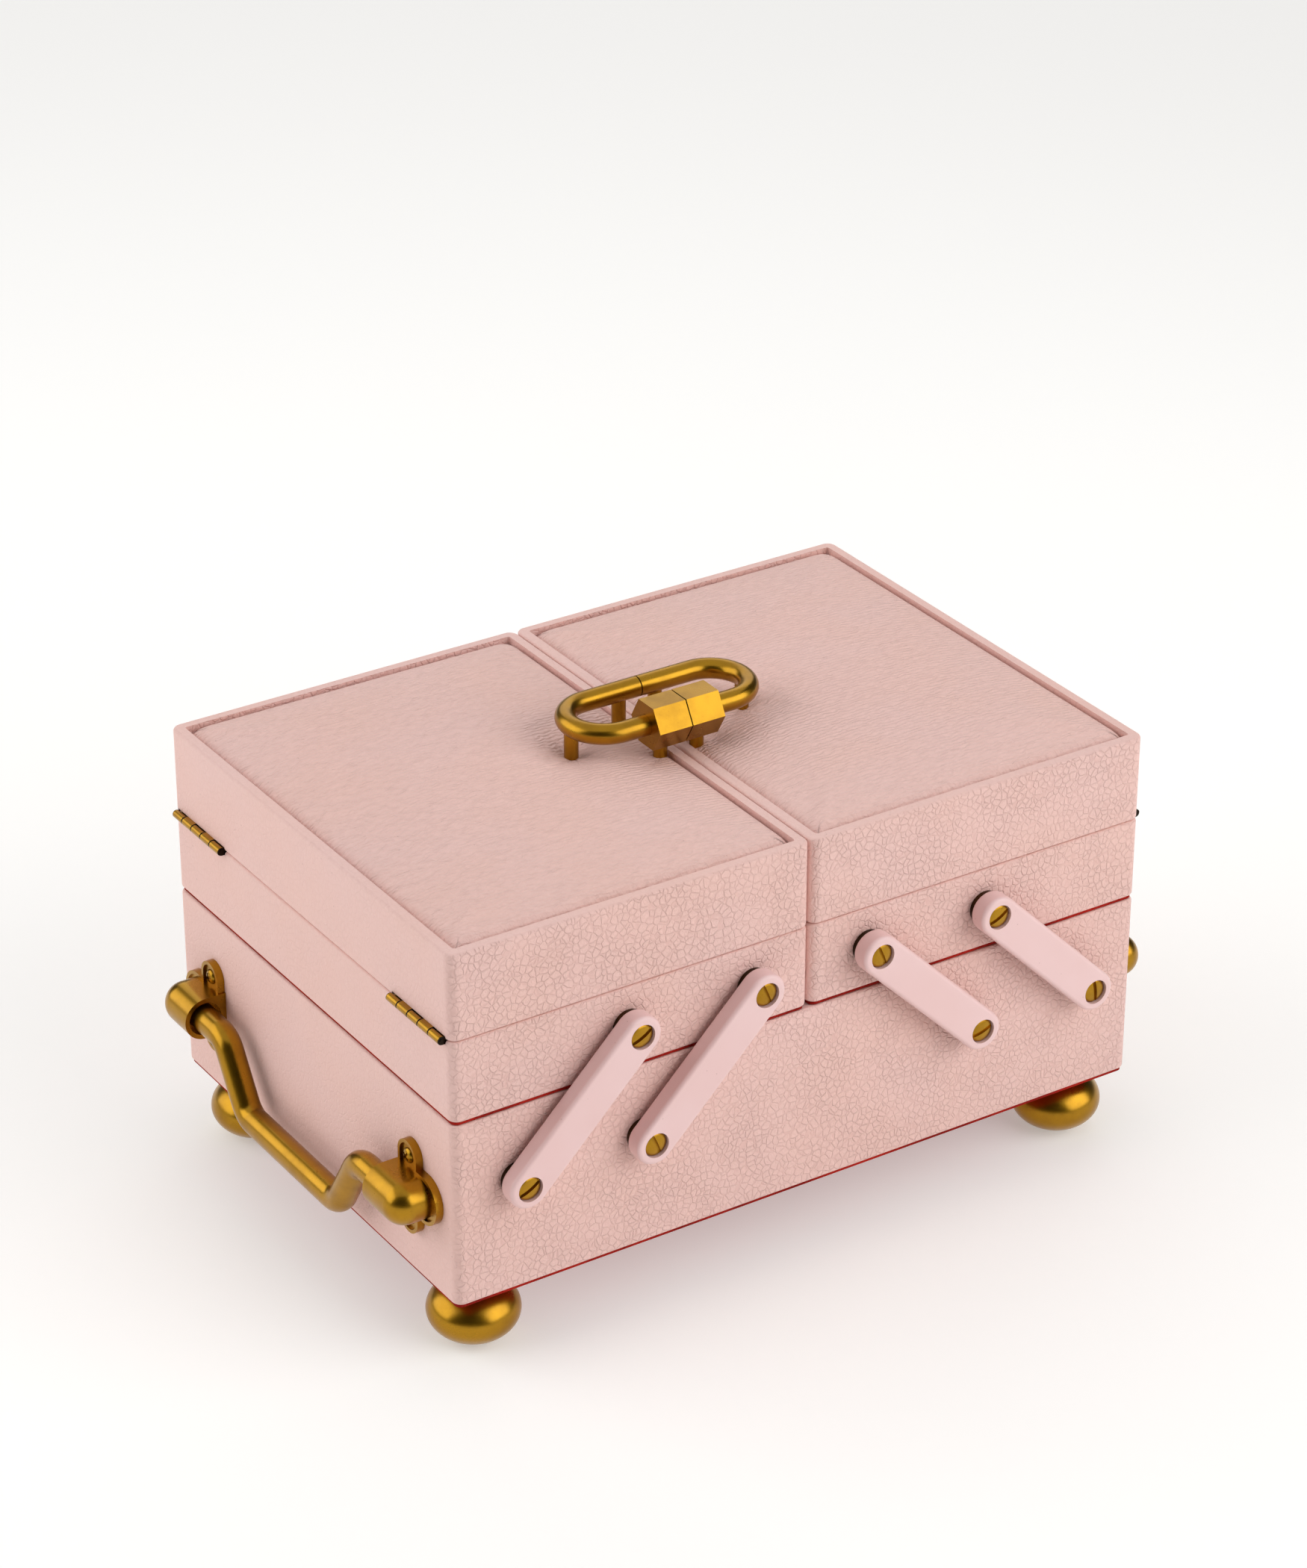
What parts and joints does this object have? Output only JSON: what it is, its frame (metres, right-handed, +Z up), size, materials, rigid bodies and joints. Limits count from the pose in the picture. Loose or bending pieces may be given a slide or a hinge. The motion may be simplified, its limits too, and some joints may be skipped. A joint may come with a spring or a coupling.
{
  "type": "sewing box",
  "caption": "Leather-covered folding sewing box with swing-out trays on parallel arms, padded hinged lids, ball feet, hanging side handles and a split link clasp.",
  "frame": {"origin": "centre of the box on the surface it stands on", "axes": "+X along the long side, towards the right tray; +Y towards the back; +Z up"},
  "size_m": [0.335, 0.224, 0.1941],
  "materials": {
    "leather": "pebbled pale pink leather",
    "padded_leather": "pebbled pale pink leather over a thin pad",
    "plywood": "plain plywood, hidden under leather and lining",
    "red_lining": "red suede cloth",
    "red_panel": "red cloth on board",
    "pink_lacquer": "smooth pale pink lacquer",
    "brass": "satin brass with darker patina"
  },
  "bodies": {
    "base": {"base_carcass": "plywood", "base_leather_wrap": "leather", "base_lining": "red_lining", "base_underside_panel": "red_panel", "front_left_foot": "brass", "front_right_foot": "brass", "rear_left_foot": "brass", "rear_right_foot": "brass", "left_front_handle_bracket": "brass", "left_rear_handle_bracket": "brass", "right_front_handle_bracket": "brass", "right_rear_handle_bracket": "brass", "bracket_screws": "brass", "base_arm_screws": "brass", "base_arm_washers": "brass"},
    "front_left_outer_arm": {"front_left_outer_arm": "pink_lacquer"},
    "front_left_inner_arm": {"front_left_inner_arm": "pink_lacquer"},
    "rear_left_outer_arm": {"rear_left_outer_arm": "pink_lacquer"},
    "rear_left_inner_arm": {"rear_left_inner_arm": "pink_lacquer"},
    "left_tray": {"left_tray_carcass": "plywood", "left_tray_leather_wrap": "leather", "left_tray_lining": "red_lining", "left_tray_underside_panel": "red_panel", "left_tray_arm_screws": "brass", "left_tray_arm_washers": "brass", "left_tray_hinge_leaves": "brass", "left_hinge_pins": "brass", "left_tray_hinge_screws": "brass"},
    "left_lid": {"left_lid_carcass": "plywood", "left_lid_leather_wrap": "leather", "left_lid_padded_panel": "padded_leather", "left_lid_lining": "red_lining", "left_lid_hinge_leaves": "brass", "left_lid_hinge_screws": "brass", "left_clasp_link": "brass", "left_clasp_nut": "brass"},
    "left_handle": {"left_handle": "brass"},
    "front_right_outer_arm": {"front_right_outer_arm": "pink_lacquer"},
    "front_right_inner_arm": {"front_right_inner_arm": "pink_lacquer"},
    "rear_right_outer_arm": {"rear_right_outer_arm": "pink_lacquer"},
    "rear_right_inner_arm": {"rear_right_inner_arm": "pink_lacquer"},
    "right_tray": {"right_tray_carcass": "plywood", "right_tray_leather_wrap": "leather", "right_tray_lining": "red_lining", "right_tray_underside_panel": "red_panel", "right_tray_arm_screws": "brass", "right_tray_arm_washers": "brass", "right_tray_hinge_leaves": "brass", "right_hinge_pins": "brass", "right_tray_hinge_screws": "brass"},
    "right_lid": {"right_lid_carcass": "plywood", "right_lid_leather_wrap": "leather", "right_lid_padded_panel": "padded_leather", "right_lid_lining": "red_lining", "right_lid_hinge_leaves": "brass", "right_lid_hinge_screws": "brass", "right_clasp_link": "brass", "right_clasp_nut": "brass"},
    "right_handle": {"right_handle": "brass"}
  },
  "joints": [
    {"name": "left_fold", "type": "hinge", "parent": "base", "child": "front_left_outer_arm", "pos_m": [-0.1248, -0.10815, 0.0752], "axis": [0, -1, 0], "range_deg": [0, 90]},
    {"name": "front_left_inner_arm_swing", "type": "hinge", "parent": "base", "child": "front_left_inner_arm", "pos_m": [-0.0721, -0.10815, 0.0752], "axis": [0, -1, 0], "range_deg": [0, 90]},
    {"name": "rear_left_outer_arm_swing", "type": "hinge", "parent": "base", "child": "rear_left_outer_arm", "pos_m": [-0.1248, 0.10815, 0.0752], "axis": [0, -1, 0], "range_deg": [0, 90]},
    {"name": "rear_left_inner_arm_swing", "type": "hinge", "parent": "base", "child": "rear_left_inner_arm", "pos_m": [-0.0721, 0.10815, 0.0752], "axis": [0, -1, 0], "range_deg": [0, 90]},
    {"name": "left_tray_level", "type": "hinge", "parent": "front_left_outer_arm", "child": "left_tray", "pos_m": [-0.0779, -0.10815, 0.1221], "axis": [0, -1, 0], "range_deg": [-90, 0]},
    {"name": "left_lid_hinge", "type": "hinge", "parent": "left_tray", "child": "left_lid", "pos_m": [-0.1512, 0, 0.13765], "axis": [0, -1, 0], "range_deg": [0, 180]},
    {"name": "left_handle_swing", "type": "hinge", "parent": "base", "child": "left_handle", "pos_m": [-0.159, 0, 0.0659], "axis": [0, 1, 0], "range_deg": [0, 180]},
    {"name": "right_fold", "type": "hinge", "parent": "base", "child": "front_right_outer_arm", "pos_m": [0.1248, -0.10815, 0.0752], "axis": [0, 1, 0], "range_deg": [0, 90]},
    {"name": "front_right_inner_arm_swing", "type": "hinge", "parent": "base", "child": "front_right_inner_arm", "pos_m": [0.0721, -0.10815, 0.0752], "axis": [0, 1, 0], "range_deg": [0, 90]},
    {"name": "rear_right_outer_arm_swing", "type": "hinge", "parent": "base", "child": "rear_right_outer_arm", "pos_m": [0.1248, 0.10815, 0.0752], "axis": [0, 1, 0], "range_deg": [0, 90]},
    {"name": "rear_right_inner_arm_swing", "type": "hinge", "parent": "base", "child": "rear_right_inner_arm", "pos_m": [0.0721, 0.10815, 0.0752], "axis": [0, 1, 0], "range_deg": [0, 90]},
    {"name": "right_tray_level", "type": "hinge", "parent": "front_right_outer_arm", "child": "right_tray", "pos_m": [0.0779, -0.10815, 0.1221], "axis": [0, 1, 0], "range_deg": [-90, 0]},
    {"name": "right_lid_hinge", "type": "hinge", "parent": "right_tray", "child": "right_lid", "pos_m": [0.1512, 0, 0.13765], "axis": [0, 1, 0], "range_deg": [0, 180]},
    {"name": "right_handle_swing", "type": "hinge", "parent": "base", "child": "right_handle", "pos_m": [0.159, 0, 0.0659], "axis": [0, -1, 0], "range_deg": [0, 180]}
  ],
  "couplings": [
    {"joint": "front_left_inner_arm_swing", "follows": "left_fold", "ratio": 1},
    {"joint": "rear_left_outer_arm_swing", "follows": "left_fold", "ratio": 1},
    {"joint": "rear_left_inner_arm_swing", "follows": "left_fold", "ratio": 1},
    {"joint": "left_tray_level", "follows": "left_fold", "ratio": -1},
    {"joint": "front_right_inner_arm_swing", "follows": "right_fold", "ratio": 1},
    {"joint": "rear_right_outer_arm_swing", "follows": "right_fold", "ratio": 1},
    {"joint": "rear_right_inner_arm_swing", "follows": "right_fold", "ratio": 1},
    {"joint": "right_tray_level", "follows": "right_fold", "ratio": -1}
  ]
}
